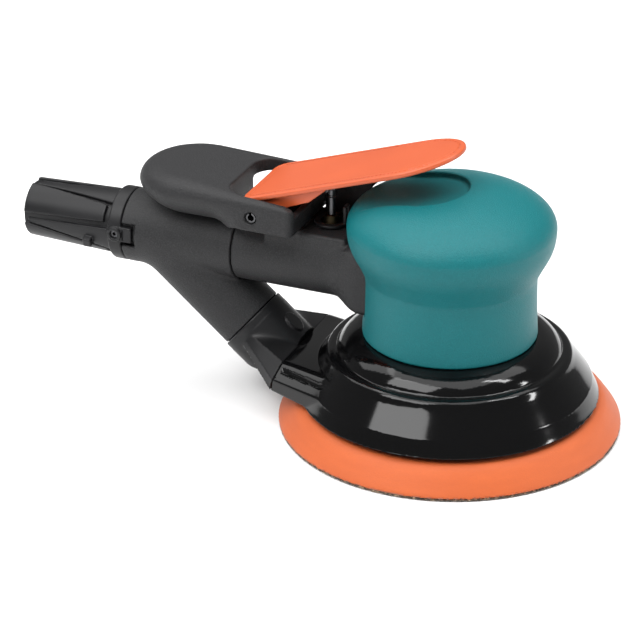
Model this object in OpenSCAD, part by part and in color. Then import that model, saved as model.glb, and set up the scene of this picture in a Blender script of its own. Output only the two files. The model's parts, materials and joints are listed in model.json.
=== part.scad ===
// Air-powered random orbital palm sander with a two-piece dust duct.
// Millimetres, +Z up. The origin is on the motor axis at the sanding face.
// The handle runs along -X, and the XZ plane is the plane of symmetry.

/* [Pad] */
// Radius of the round sanding pad at its face
pad_r = 63.5; // [60:0.5:66]
// Height of the top of the pad above the sanding face
pad_top = 12; // [11.6:0.1:12.2]
// Thickness of the hook face
face_t = 0.8; // [0.6:0.1:1.6]
// Distance from the motor axis to the pad axis, half the orbit
orbit_r = 1.2; // [0.8:0.1:1.4]
// Number of dust holes through the pad
dust_holes = 5; // [4:1:8]
// Radius of a dust hole
dust_hole_r = 4.75; // [3.5:0.25:5]

/* [Housing] */
// Height of the handle axis
handle_z = 57.3; // [56.5:0.1:58]
// Radius of the handle tube
handle_r = 13.1; // [13:0.1:13.4]
// Thickness of the rubber grip over the housing
grip_t = 3; // [2.5:0.1:3.4]
// Radius of the grip where it is fullest
grip_r = 38.1; // [37.4:0.1:38.4]
// Height at which the grip is fullest
grip_full_z = 79; // [78.5:0.1:79.5]
// Height of the grip's dome above that
dome_h = 15; // [14.4:0.1:15]

/* [Motor] */
// Radius of the motor shaft in the lower bearing
shaft_r = 6; // [5.5:0.1:6]
// Outer radius of the motor cylinder and its end plates
motor_r = 24; // [23.6:0.1:24]
// Radius of the rotor
rotor_r = 17.6; // [17:0.1:17.6]
// Offset of the cylinder bore from the shaft
bore_off = 1.6; // [1.2:0.1:1.6]
// Number of vanes
vanes_n = 5; // [4:1:6]

/* [Lever] */
// Angle of the throttle lever above the horizontal at rest
lever_tilt = 18.4; // [18:0.1:19]
// Length of the lever from its pivot to its tip
lever_len = 80; // [76:0.5:80]
// Half the width of the lever
lever_hw = 17.5; // [16:0.1:17.5]
// Thickness of the lever's plate
lever_t = 2; // [1.8:0.1:2.2]

/* [Dust duct] */
// Outer radius of the branch tube
branch_r = 13.1; // [12.8:0.1:13.2]
// Angle of the branch tube below the horizontal
branch_deg = 40; // [39:0.5:41]
// Outer radius of the hose adapter at its free end
adapter_r = 11; // [10.6:0.1:11]

/* [Hidden] */
$fn = 96;
coarse = 32;

tiny = 0.01;
far = 200;
// press clearance between parts of one body
snug = 0.05;

// pad stack
plate_r = 44.9;
plate_z = 9;
stud_r = 3.9;
dust_pcd = 65;
spindle_r = 5;
hex_af = 17;
brg_z = 17.4;
brg_h = 12.6;

// motor stack
low_z = 40.5;
low_h = 8;
cyl_z = 50;
cyl_h = 20;
bore_r = 19.5;
up_z = cyl_z + cyl_h;
up_brg_z = up_z + 2;
top_shaft_r = 5;
shaft_top = up_brg_z + 9;
cavity_top = shaft_top + 1;

low_hole_r = 7;
up_hole_r = 6.5;
pin_z = 47;
inlet_r = 3.6;

// grip and lever recess
base_z = 37;
waist_z = 57.5;
waist_r = 31.4;
recess_x = -10;
recess_z = 89.55;
recess_deg = 8.93;
recess_hw = 16;
floor_t = 2.4;

// handle, lever pivot and valve
spigot_r = 12.1;
block_hw = 16;
block_low = 44;
platform_z = 71.5;
pivot_x = -70.2;
pivot_z = 78.3;
pivot_r = 2;
lever_low = 4.7;
stem_x = -47;
stem_r = 1.5;
stem_top = 86.5;
seat_x = -63;
tip_z = handle_z + 4.6;
thread_r = 5.55;
rest_hw = 21.5;
rest_front = -54;
arm_in = 17.9;

// manifold, hose adapter and duct
seam_1 = -127;
seam_2 = -82.2;
key_up = 1;
ear_x = -129.5;
duct_r = 10;
branch_len = 47.6;
elbow_x = -79.3;
elbow_z = 26.7;
mouth_x = -57.4;
mouth_z = 22.4;
mouth_deg = 15;
skirt_z = 12.9;

// ---- shared shapes -------------------------------------------------------

// a tube or a disc with a hole, standing on z
module ring(r_out, r_in, z, h) {
    translate([0, 0, z])
        difference() {
            cylinder(r = r_out, h = h);
            translate([0, 0, -1]) cylinder(r = r_in, h = h + 2);
        }
}

// lays a shape that was made along +Z onto the handle axis, from x towards -X
module on_handle(x) {
    translate([x, 0, handle_z]) rotate([0, -90, 0]) children();
}

// races and balls of a sealed ball bearing standing on z
module race_outer(r_out, r_pitch, ball_r, z, h, rows) {
    difference() {
        ring(r_out, r_pitch + 0.7 * ball_r, z, h);
        for (row = rows)
            translate([0, 0, row])
                rotate_extrude() translate([r_pitch, 0]) circle(r = ball_r + 0.1);
    }
}

module race_inner(r_in, r_pitch, ball_r, z, h, rows) {
    difference() {
        ring(r_pitch - 0.7 * ball_r, r_in, z, h);
        for (row = rows)
            translate([0, 0, row])
                rotate_extrude() translate([r_pitch, 0]) circle(r = ball_r + 0.1);
    }
}

module balls(r_pitch, ball_r, rows, count) {
    for (row = rows, i = [0 : count - 1])
        rotate(360 * i / count) translate([r_pitch, 0, row]) sphere(r = ball_r, $fn = 32);
}

module dust_hole_set(z, h) {
    translate([0, orbit_r, z])
        for (i = [0 : dust_holes - 1])
            rotate(90 + 360 * i / dust_holes)
                translate([dust_pcd / 2, 0, 0]) cylinder(r = dust_hole_r, h = h);
}

// ---- pad, which turns freely on the crank --------------------------------

module hook_face() {
    color("dimgray")
        difference() {
            translate([0, orbit_r, 0]) cylinder(r = pad_r, h = face_t);
            dust_hole_set(-1, face_t + 2);
        }
}

module foam_pad() {
    color("tomato")
        difference() {
            translate([0, orbit_r, 0])
                rotate_extrude($fn = 120)
                    polygon([[0, face_t], [pad_r, face_t], [pad_r - 0.4, 2], [pad_r - 1.9, 4],
                        [pad_r - 4.1, 7], [pad_r - 6.2, 9.5], [pad_r - 7.8, 10.7],
                        [pad_r - 9.5, 11.2], [plate_r + 0.1, 11.2], [plate_r + 0.1, plate_z],
                        [9.1, plate_z], [9.1, 6.4], [0, 6.4]]);
            dust_hole_set(0, pad_top + 1);
        }
}

module pad_plate() {
    color("darkslategray")
        difference() {
            translate([0, orbit_r, 0]) ring(plate_r, stud_r + snug, plate_z, pad_top - plate_z);
            dust_hole_set(plate_z - 1, 6);
        }
}

module pad_stud() {
    color("silver")
        translate([0, orbit_r, 6.4]) {
            cylinder(r = 9, h = plate_z - 6.4);
            cylinder(r = stud_r, h = 16.6);
        }
}

// hex flange, bearing journal and threaded socket for the stud
module spindle() {
    color("silver")
        translate([0, orbit_r, 0])
            difference() {
                union() {
                    translate([0, 0, pad_top])
                        cylinder(r = hex_af / sqrt(3), h = 3.2, $fn = 6);
                    translate([0, 0, pad_top]) cylinder(r = 7, h = brg_z - pad_top);
                    translate([0, 0, brg_z]) cylinder(r = spindle_r, h = brg_h);
                }
                translate([0, 0, pad_top - 1]) cylinder(r = stud_r + snug, h = 12.2);
                translate([0, 0, pad_top]) cylinder(r = 1.9, h = 30);
            }
}

module spindle_washer() {
    color("dimgray") translate([0, orbit_r, 0]) ring(6.4, 2.1, brg_z + brg_h, 1);
}

module spindle_screw() {
    color("silver")
        translate([0, orbit_r, 0]) {
            translate([0, 0, 24.4]) cylinder(r = 1.85, h = brg_z + brg_h + 1 - 24.4);
            difference() {
                translate([0, 0, brg_z + brg_h + 1]) cylinder(r = 3.6, h = 2.2);
                translate([0, 0, brg_z + brg_h + 2]) cylinder(r = 1.5, h = 3, $fn = 6);
            }
        }
}

spindle_rows = [brg_z + 3.3, brg_z + 9.3];

module spindle_bearing_inner() {
    color("lightsteelblue")
        translate([0, orbit_r, 0]) race_inner(spindle_r + 0.01, 9, 2.1, brg_z, brg_h, spindle_rows);
}

module spindle_bearing_balls() {
    color("white") translate([0, orbit_r, 0]) balls(9, 2.1, spindle_rows, 9);
}

// ---- crank, rotor and what turns with them --------------------------------

module spindle_bearing_outer() {
    color("lightsteelblue")
        translate([0, orbit_r, 0]) race_outer(13, 9, 2.1, brg_z, brg_h, spindle_rows);
}

module spindle_retaining_ring() {
    color("gray")
        translate([0, orbit_r, 0])
            difference() {
                ring(13.9, 11.4, brg_z - 1.1, 1);
                translate([-1.5, -far / 2, brg_z - 2]) cube([3, far / 2, 3]);
            }
}

// motor shaft, eccentric bearing cup and counterweight in one piece
module shaft_balancer() {
    cup_top = brg_z + brg_h;
    color("slategray")
        difference() {
            union() {
                translate([0, orbit_r, brg_z - 2.2]) cylinder(r = 16, h = 22);
                translate([0, 0, 24])
                    intersection() {
                        cylinder(r = 27, h = 9.5);
                        translate([-far / 2, -far, -1]) cube([far, far - 6, 20]);
                    }
                cylinder_on(8, 35, low_z - 35);
                cylinder_on(shaft_r, low_z, up_z - low_z);
                cylinder_on(top_shaft_r, up_z, shaft_top - up_z);
            }
            translate([0, orbit_r, brg_z]) cylinder(r = 13, h = brg_h);
            translate([0, orbit_r, brg_z - 3]) cylinder(r = 13, h = 4);
            translate([0, orbit_r, brg_z - 1.15]) cylinder(r = 14, h = 1.1);
            translate([0, orbit_r, cup_top - 1]) cylinder(r = 10.6, h = 5.4);
            ring(top_shaft_r + 1, 4.6, shaft_top - 1, 0.8);
            translate([shaft_r - 1, -1, cyl_z + 5]) cube([3, 2, 10]);
        }
}

module cylinder_on(r, z, h) {
    translate([0, 0, z]) cylinder(r = r, h = h);
}

low_rows = [low_z + low_h / 2];
up_rows = [up_brg_z + 4];

module lower_bearing_inner() {
    color("lightsteelblue") race_inner(shaft_r + 0.01, 10, 2.3, low_z, low_h, low_rows);
}

module lower_bearing_balls() {
    color("white") balls(10, 2.3, low_rows, 8);
}

module lower_bearing_outer() {
    color("lightsteelblue") race_outer(14, 10, 2.3, low_z, low_h, low_rows);
}

module upper_bearing_inner() {
    color("lightsteelblue") race_inner(top_shaft_r + 0.01, 9, 2.1, up_brg_z, 8, up_rows);
}

module upper_bearing_balls() {
    color("white") balls(9, 2.1, up_rows, 8);
}

module upper_bearing_outer() {
    color("lightsteelblue") race_outer(13, 9, 2.1, up_brg_z, 8, up_rows);
}

module shaft_retaining_ring() {
    color("gray")
        difference() {
            ring(6.8, 4.65, shaft_top - 0.95, 0.7);
            translate([-1, 0, shaft_top - 2]) cube([2, 10, 3]);
        }
}

vane_w = 1.5;
slot_r = 10.6;

module rotor() {
    color("darkgray")
        difference() {
            ring(rotor_r, shaft_r + 0.01, cyl_z + 0.4, cyl_h - 0.8);
            for (i = [0 : vanes_n - 1])
                rotate(36 + 360 * i / vanes_n)
                    translate([slot_r, -vane_w / 2 - snug, cyl_z - 1])
                        cube([20, vane_w + 2 * snug, cyl_h + 2]);
            translate([shaft_r - 1, -1, cyl_z + 4.9]) cube([3.1, 2, 10.2]);
        }
}

module vanes() {
    color("saddlebrown")
        for (i = [0 : vanes_n - 1])
            rotate(36 + 360 * i / vanes_n)
                translate([slot_r + 0.2, -vane_w / 2, cyl_z + 0.5])
                    cube([rotor_r - slot_r - 0.3, vane_w, cyl_h - 1]);
}

module rotor_key() {
    color("silver") translate([shaft_r - 1 + tiny, -0.98, cyl_z + 5.1]) cube([3, 1.96, 9.8]);
}

// ---- motor parts held in the housing --------------------------------------

module pin_hole() {
    rotate(150) translate([21.9, 0, pin_z - 0.2]) cylinder(r = 1.3, h = 40);
}

module motor_cylinder() {
    color("silver")
        difference() {
            translate([0, 0, cyl_z])
                difference() {
                    cylinder(r = motor_r, h = cyl_h);
                    translate([bore_off, 0, -1]) cylinder(r = bore_r, h = cyl_h + 2);
                }
            on_handle(-15) cylinder(r = inlet_r, h = 12);
            for (a = [-75, -55, -35])
                rotate(a) translate([0, 0, cyl_z + 2.4]) rotate([0, 90, 0]) cylinder(r = 1.4, h = 30);
            pin_hole();
        }
}

module lower_end_plate() {
    color("lightgray")
        difference() {
            ring(motor_r, low_hole_r, low_z - 0.1, cyl_z - low_z + 0.1);
            translate([0, 0, low_z - 1]) cylinder(r = 14.01, h = low_h + 1);
            ring(motor_r + 1, 22.35, 44.1, 1.8);
            pin_hole();
        }
}

module upper_end_plate() {
    color("lightgray")
        difference() {
            union() {
                cylinder_on(motor_r, up_z, 5);
                cylinder_on(15, up_z, up_brg_z + 8.4 - up_z);
            }
            translate([0, 0, up_brg_z]) cylinder(r = 13.01, h = 9);
            translate([0, 0, up_z - 1]) cylinder(r = up_hole_r, h = 9);
            pin_hole();
        }
}

module locating_pin() {
    color("silver") rotate(150) translate([21.9, 0, pin_z]) cylinder(r = 1.25, h = 26.2);
}

module motor_o_ring() {
    color("black") translate([0, 0, 45]) rotate_extrude() translate([23.2, 0]) circle(r = 0.8);
}

// threaded ring that clamps the motor, with notches for a pin spanner
module lock_ring() {
    color("darkgray")
        difference() {
            ring(25.55, 18.5, 36.2, 4);
            for (i = [0 : 3])
                rotate(90 * i) translate([20, 0, 35]) cylinder(r = 1.6, h = 4);
        }
}

// ---- housing and grip -------------------------------------------------------

// outer outline of the grip, moved inwards by in, from the base to the top
function waist(z, in) =
    z < waist_z
        ? waist_r - in + 0.8 * pow((waist_z - z) / (waist_z - base_z), 2)
        : waist_r - in + (grip_r - waist_r) * (1 - cos(180 * (z - waist_z) / (grip_full_z - waist_z))) / 2;

function grip_outline(in, down) = concat(
    [[waist(base_z, in), base_z - down]],
    [for (i = [down > 0 ? 0 : 1 : 6]) let (z = base_z + i * (waist_z - base_z) / 6) [waist(z, in), z]],
    [for (i = [1 : 12]) let (z = waist_z + i * (grip_full_z - waist_z) / 12) [waist(z, in), z]],
    [for (i = [1 : 14]) let (t = 90 * i / 15) [(grip_r - in) * cos(t), grip_full_z + (dome_h - in) * sin(t)]],
    [[0, grip_full_z + dome_h - in], [0, base_z - down]]);

// pocket in the dome that the lever sinks towards, open to the handle side
module recess(grow, drop) {
    translate([recess_x, 0, recess_z - drop])
        rotate([0, -recess_deg, 0])
            linear_extrude(height = 30) {
                circle(r = recess_hw + grow);
                translate([-60, -recess_hw - grow]) square([60, 2 * (recess_hw + grow)]);
            }
}

module dome_solid(in, drop, down) {
    difference() {
        rotate_extrude() polygon(grip_outline(in, down));
        recess(in, drop);
    }
}

module grip() {
    color("teal")
        difference() {
            dome_solid(0, 0, 0);
            dome_solid(grip_t, floor_t, 2);
            translate([-60, -block_hw - 0.3, block_low - 0.3])
                cube([40, 2 * block_hw + 0.6, platform_z - block_low + 0.8]);
        }
}

// handle tube and the block where it joins the housing
module handle_outside() {
    on_handle(-20) cylinder(r = handle_r, h = -seam_2 - 20);
    on_handle(seam_2 + 1) cylinder(r = spigot_r, h = 10.8);
    hull() {
        on_handle(-45) cylinder(r = handle_r, h = 0.5, $fn = coarse);
        translate([-31, -block_hw, block_low]) cube([11, 2 * block_hw, 26]);
    }
    translate([-56, -12, handle_z + 4]) cube([19.4, 24, platform_z - handle_z - 4]);
    // lug that carries the lever pin
    translate([pivot_x, 5, pivot_z]) rotate([90, 0, 0]) cylinder(r = 4, h = 10);
    translate([pivot_x - 4, -5, handle_z + 8]) cube([8, 10, pivot_z - handle_z - 8]);
    // guard wall beside the valve stem, on the far side
    translate([0, 12.1, 0])
        rotate([90, 0, 0])
            linear_extrude(height = 2.2)
                polygon([[-54, 62], [-54, 78.2], [-46.8, 82.1], [-39.8, 86.4], [-34, 86.4], [-35.2, 84],
                    [-37.2, 80], [-37.2, 62]]);
}

module handle_inside() {
    // bore for the inlet bushing, the spring and the seat
    on_handle(seat_x + 2.5) cylinder(r = 6.85, h = 40);
    // chamber for the tail of the tip valve, and the way to the motor
    on_handle(-41) cylinder(r = 6.4, h = -seat_x - 2.5 - 41 + tiny);
    on_handle(-20) cylinder(r = inlet_r, h = 22);
    // exhaust channels below the inlet
    for (a = [30 : 30 : 150])
        on_handle(-20) rotate(a + 90) translate([9.9, 0, 0]) cylinder(r = 1.6, h = 80);
    translate([stem_x, 0, handle_z + 4]) cylinder(r = 4.05, h = 20);
}

module motor_housing() {
    color("dimgray")
        difference() {
            union() {
                dome_solid(grip_t + snug, floor_t + snug, base_z - 34);
                cylinder_on(30, 34, base_z - 34.1);
                handle_outside();
            }
            cylinder_on(motor_r + 0.1, 33, up_z + 5.2 - 33);
            cylinder_on(25.6, 33, 7.3);
            // gallery that gathers the exhaust air
            ring(26.2, 20, 46.5, 6.6);
            cylinder_on(15.4, up_z, cavity_top - up_z);
            handle_inside();
            translate([pivot_x, 10, pivot_z]) rotate([90, 0, 0]) cylinder(r = pivot_r + tiny, h = 20);
        }
}

// ---- shroud and dust duct ----------------------------------------------------

// half of the duct's mouth, as [across, up] from its top middle, moved in by in
function mouth_half(in) = [[21.3 - 0.7 * in, 0.7 - in], [25.4 - 0.8 * in, -0.8 - 0.9 * in],
    [29.2 - in, -4.4], [28.4 - in, -9.8 + in]];

function mirrored(half) = concat(half, [for (i = [len(half) - 1 : -1 : 0]) [-half[i][0], half[i][1]]]);

// a slab of the mouth's outline between two distances along the duct, from its face
module mouth_slab(in, from, to) {
    translate([mouth_x, 0, mouth_z])
        rotate([0, mouth_deg, 0]) rotate([90, 0, 90])
            translate([0, 0, from]) linear_extrude(height = to - from) polygon(mirrored(mouth_half(in)));
}

// where the duct meets the shroud: it leaves almost along a tangent, so one side reaches further
module root_slab(in) {
    translate([-31, 0, 0])
        rotate([90, 0, 90])
            linear_extrude(height = 1)
                polygon([[-35.5 + in, 26 - in], [-41.4 + in, 19.8], [-40.4 + in, skirt_z + in],
                    [21.5 - in, skirt_z + in], [22.5 - in, 19.8], [9.8 - in, 26 - in]]);
}

shroud_outside = [[0, skirt_z], [55.4, skirt_z], [55.4, 13.7], [53.9, 16.4], [52.6, 19], [49.6, 23.1],
    [46.6, 27.1], [45.8, 28.4], [45.3, 29.4], [44.5, 30.1], [43, 30.4], [42, 30.5], [41.5, 30.9],
    [40.9, 31.9], [39.8, 33.3], [38.4, 34.6], [36.6, 35.7], [34.6, 36.5], [32.8, 36.9], [0, 36.9]];
shroud_inside = [[0, skirt_z - 1], [53.2, skirt_z - 1], [53.2, skirt_z], [51.9, 15], [50.6, 18.2],
    [47.4, 22.6], [44.2, 26.8], [43.3, 28.1], [42.2, 28.4], [40.3, 28.7], [39.2, 30.1], [38.1, 31.5],
    [36.8, 32.6], [35.2, 33.4], [32.5, 34], [30.05, 34], [30.05, 38], [0, 38]];

module shroud() {
    color("black")
        difference() {
            union() {
                rotate_extrude() polygon(shroud_outside);
                hull() {
                    mouth_slab(0, 0, 1);
                    root_slab(0);
                }
            }
            translate([-far / 2, -far / 2, skirt_z - 20]) cube([far, far, 20]);
            rotate_extrude() polygon(shroud_inside);
            hull() {
                mouth_slab(1.4, -1, 1);
                root_slab(1.8);
            }
        }
}

module along_branch() {
    translate([elbow_x, 0, elbow_z]) rotate([0, 90 + branch_deg, 0]) children();
}

module exhaust_elbow() {
    color("dimgray")
        difference() {
            union() {
                along_branch() cylinder(r = 13.6, h = 12);
                hull() {
                    along_branch() translate([0, 0, 10.6]) cylinder(r = 13.5, h = 1, $fn = coarse);
                    mouth_slab(0.4, -1.2, -0.2);
                }
                mouth_slab(2.1, -0.3, 1.6);
            }
            along_branch() translate([0, 0, -1]) cylinder(r = spigot_r, h = 11.5);
            along_branch() translate([0, 0, -1]) cylinder(r = duct_r, h = 14);
            hull() {
                along_branch() translate([0, 0, 11]) cylinder(r = duct_r - 0.2, h = 1, $fn = coarse);
                mouth_slab(2.75, -1.3, -0.1);
            }
            mouth_slab(2.8, -1, 3);
        }
}

module elbow_seal() {
    color("black")
        along_branch() translate([0, 0, 5.5]) rotate_extrude() translate([11.4, 0]) circle(r = 0.65);
}

// manifold that joins the handle, the dust branch and the hose adapter
module y_body() {
    color("dimgray")
        difference() {
            union() {
                on_handle(seam_2 - 0.2) cylinder(r1 = 13.5, r2 = 14, h = seam_2 - seam_1 - 0.2);
                along_branch() translate([0, 0, -branch_len]) cylinder(r = branch_r, h = branch_len - 0.2);
                along_branch() translate([0, 0, -1]) cylinder(r = spigot_r - 0.1, h = 11);
            }
            on_handle(seam_2 + 1) cylinder(r = spigot_r + snug, h = 60);
            on_handle(-50) cylinder(r = handle_r + 0.2, h = -seam_2 - 50);
            along_branch() translate([0, 0, -branch_len]) cylinder(r = duct_r, h = branch_len + 20);
            along_branch() ring(13, 10.7, 4.8, 1.4);
            // notch that keys the hose adapter
            translate([seam_1 - 1, -15, handle_z + key_up - 4.4]) cube([6.7, 4, 8.8]);
        }
}

module muffler_felt() {
    color("wheat") on_handle(-92.2) ring(spigot_r - 0.1, 10, 0, 3);
}

module hose_adapter() {
    collar_x = seam_1 - 0.2;
    color("dimgray")
        difference() {
            union() {
                on_handle(collar_x + 11) cylinder(r = spigot_r - 0.1, h = 12);
                on_handle(collar_x) cylinder(r = 14, h = 5.4);
                on_handle(collar_x - 5) cylinder(r1 = 12.6, r2 = adapter_r, h = 37.4);
                // key that sits in the notch of the manifold
                translate([collar_x - 0.5, -13.8, handle_z + key_up - 3]) cube([5, 3, 6]);
                translate([ear_x, -10, handle_z + key_up]) rotate([90, 0, 0]) cylinder(r = 2.9, h = 4.6);
                translate([ear_x - 13.7, 0, handle_z])
                    rotate([21, 0, 0]) translate([0, -14.6, -3]) cube([3.4, 4, 6]);
            }
            on_handle(collar_x + 12) cylinder(r = 10.3, h = 18);
            on_handle(collar_x + 12) cylinder(r = 9.2, h = 60);
            translate([ear_x, -9, handle_z + key_up]) rotate([90, 0, 0]) cylinder(r = 1.5, h = 8);
        }
}

module adapter_screw() {
    color("black")
        translate([ear_x, -10.4, handle_z + key_up]) rotate([90, 0, 0])
            difference() {
                cylinder(r = 1.45, h = 3.4);
                translate([0, 0, 2]) cylinder(r = 0.8, h = 3, $fn = 6);
            }
}

// ---- valve --------------------------------------------------------------------

module valve_bushing() {
    color("goldenrod")
        translate([stem_x, 0, 0])
            difference() {
                union() {
                    cylinder_on(4, 64, 8);
                    translate([0, 0, 72]) cylinder(r1 = 3.4, r2 = 2.3, h = 3.6);
                }
                cylinder_on(stem_r + snug, 60, 20);
                ring(3, 1, 68, 1.8);
            }
}

module stem_seal() {
    color("black") translate([stem_x, 0, 0]) ring(2.9, stem_r + snug, 68.2, 1.4);
}

module valve_stem() {
    stem_low = handle_z + 0.9 + 0.3 + stem_r;
    color("silver")
        translate([stem_x, 0, 0]) {
            cylinder_on(stem_r, stem_low, stem_top - stem_r - stem_low);
            translate([0, 0, stem_low]) sphere(r = stem_r);
            translate([0, 0, stem_top - stem_r]) sphere(r = stem_r);
        }
}

module valve_seat() {
    color("gray") on_handle(seat_x + 2.5) ring(6.8, 3.4, 0, 2.5);
}

module tip_valve() {
    color("silver") {
        on_handle(seat_x - 0.3) cylinder(r = tip_z - handle_z, h = 2);
        on_handle(seat_x - 1) cylinder(r = 1.6, h = 3.3);
        on_handle(seat_x + 17) cylinder(r = 0.9, h = 18);
    }
}

// conical coil spring, swept as rings of spring_sides points along its helix
spring_turns = 6;
spring_steps = 18;
spring_sides = 8;
function coil(t) =
    let (a = 360 * spring_turns * t, r = 2.8 + 2.6 * t) [-65.9 - 13.3 * t, r * cos(a), handle_z + r * sin(a)];
function coil_ring(i) =
    let (t = i / (spring_turns * spring_steps), a = 360 * spring_turns * t, p = coil(t))
        [for (k = [0 : spring_sides - 1]) let (b = 360 * k / spring_sides)
            [p[0] + 0.5 * cos(b), p[1] + 0.5 * sin(b) * cos(a), p[2] + 0.5 * sin(b) * sin(a)]];

module valve_spring() {
    n = spring_turns * spring_steps;
    m = spring_sides;
    points = [for (i = [0 : n]) each coil_ring(i)];
    sides = [for (i = [0 : n - 1], k = [0 : m - 1])
        [i * m + k, i * m + (k + 1) % m, (i + 1) * m + (k + 1) % m, (i + 1) * m + k]];
    first_cap = [for (k = [m - 1 : -1 : 0]) k];
    last_cap = [for (k = [0 : m - 1]) n * m + k];
    color("silver") polyhedron(points = points, faces = concat([first_cap], sides, [last_cap]));
}

module inlet_bushing() {
    color("silver")
        difference() {
            union() {
                on_handle(-80) cylinder(r = 6.8, h = 13);
                on_handle(-92.2) cylinder(r = 9.7, h = 12, $fn = 6);
            }
            on_handle(-90.2) cylinder(r = thread_r, h = 20);
            on_handle(-79) cylinder(r = 4, h = 20);
        }
}

module inlet_screen() {
    color("gold")
        difference() {
            on_handle(-87) cylinder(r = 3.98, h = 0.6);
            for (i = [0 : 5])
                on_handle(-86) rotate(60 * i) translate([2.4, 0, 0]) cylinder(r = 0.8, h = 3);
            on_handle(-86) cylinder(r = 0.8, h = 3);
        }
}

// rotary collar round the valve bushing, with an upright tab
module speed_regulator() {
    color("darkslategray")
        translate([stem_x, 0, 0])
            difference() {
                union() {
                    cylinder_on(6.4, platform_z + 0.3, 2.6);
                    translate([5, -2, platform_z + 0.3]) cube([1.6, 4, 8.2]);
                }
                cylinder_on(4.08, platform_z, 4);
            }
}

// ---- palm rest and lever --------------------------------------------------------

// plan outline of the palm rest, a half ellipse closed by a straight front
rest_plan = concat(
    [for (i = [0 : 24]) let (t = 90 + 180 * i / 24) [-103 + 19.6 * cos(t), rest_hw * sin(t)]],
    [[rest_front - 3, -rest_hw], [rest_front - 0.8, 0.8 - rest_hw], [rest_front, 3 - rest_hw],
        [rest_front, rest_hw - 3], [rest_front - 0.8, rest_hw - 0.8], [rest_front - 3, rest_hw]]);

// side outline, as [along, height]
rest_side = [[-123, 81], [-122.3, 83.6], [-120.4, 85.5], [-118, 86.1], [-82, 86], [-70, 85], [-58, 83.8],
    [-55, 82.6], [-53.6, 80.4], [-53.6, 75], [-55.2, 73.3], [-57, 72.8], [-75.5, 72.8],
    [-77.2, 73.6], [-79.4, 75.8], [-104, 75.8], [-110, 76.4], [-118, 78.6]];

// plan outline of the opening, with round corners at its rear
slot_plan = concat(
    [[-56.7, arm_in]],
    [for (i = [0 : 6]) [-77.3 - 5 * sin(15 * i), arm_in - 5 + 5 * cos(15 * i)]],
    [for (i = [0 : 6]) [-77.3 - 5 * cos(15 * i), 5 - arm_in - 5 * sin(15 * i)]],
    [[-56.7, -arm_in]]);

module palm_rest() {
    color("dimgray")
        difference() {
            union() {
                intersection() {
                    translate([0, 0, 60]) linear_extrude(height = 40) polygon(rest_plan);
                    translate([0, 30, 0]) rotate([90, 0, 0]) linear_extrude(height = 60) polygon(rest_side);
                }
                translate([-112, -9, handle_z + 10]) cube([28.4, 18, 12]);
            }
            // opening between the arms, with a low wall left at its front
            translate([0, 0, 60]) linear_extrude(height = 40) polygon(slot_plan);
            translate([-57, -arm_in, 79.9]) cube([20, 2 * arm_in, 12]);
            // hollow under the paddle on the far side
            translate([-88, 9, 70]) cube([12.2, 20, 10.4]);
            on_handle(-60) cylinder(r = 14.05, h = 70);
            translate([pivot_x, 30, pivot_z]) rotate([90, 0, 0]) cylinder(r = pivot_r + tiny, h = 60);
        }
}

// plan outline of the lever: straight sides and a half ellipse at the tip
lever_nose = 22;
lever_plan = concat(
    [[-0.2, -lever_hw], [-2.8, 1.2 - lever_hw], [-4, 4 - lever_hw], [-4, lever_hw - 4],
        [-2.8, lever_hw - 1.2], [-0.2, lever_hw]],
    [for (i = [0 : 20]) let (t = 90 - 180 * i / 20)
        [lever_len - lever_nose + lever_nose * cos(t), lever_hw * sin(t)]]);

module lever_ear(y) {
    translate([0, y + 1.5, 0])
        rotate([90, 0, 0])
            linear_extrude(height = 3) {
                circle(r = 4);
                polygon([[-3.9, 0.5], [-3.4, lever_low + 0.2], [30.5, lever_low + 0.2], [29.5, 3.8],
                    [22, 0.6], [14, 0.1], [8.5, -0.6], [2.8, -2.8]]);
            }
}

module lever() {
    color("coral")
        translate([pivot_x, 0, pivot_z])
            rotate([0, -lever_tilt, 0])
                difference() {
                    union() {
                        translate([0, 0, lever_low]) linear_extrude(height = lever_t) polygon(lever_plan);
                        lever_ear(-14);
                        lever_ear(14);
                        translate([5.4, -2.5, 0.9]) cube([22.1, 5, lever_low - 0.8]);
                    }
                    translate([0, 30, 0]) rotate([90, 0, 0]) cylinder(r = pivot_r + snug, h = 60);
                }
}

module lever_pin() {
    color("silver")
        translate([pivot_x, rest_hw - 0.3, pivot_z])
            rotate([90, 0, 0]) cylinder(r = pivot_r, h = 2 * rest_hw - 0.6);
}

// ---- the part ------------------------------------------------------------

hook_face();
foam_pad();
pad_plate();
pad_stud();
spindle();
spindle_washer();
spindle_screw();
spindle_bearing_inner();
spindle_bearing_balls();
spindle_bearing_outer();
spindle_retaining_ring();
shaft_balancer();
lower_bearing_inner();
lower_bearing_balls();
lower_bearing_outer();
rotor();
vanes();
rotor_key();
motor_cylinder();
lower_end_plate();
upper_end_plate();
upper_bearing_inner();
upper_bearing_balls();
upper_bearing_outer();
shaft_retaining_ring();
locating_pin();
motor_o_ring();
lock_ring();
motor_housing();
grip();
shroud();
valve_bushing();
stem_seal();
valve_stem();
valve_seat();
tip_valve();
valve_spring();
inlet_bushing();
inlet_screen();
speed_regulator();
palm_rest();
lever();
lever_pin();
y_body();
exhaust_elbow();
elbow_seal();
hose_adapter();
adapter_screw();
muffler_felt();
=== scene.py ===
"""Looks of the orbital sander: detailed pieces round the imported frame, materials, floor, light and camera."""

import json
import math

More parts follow.
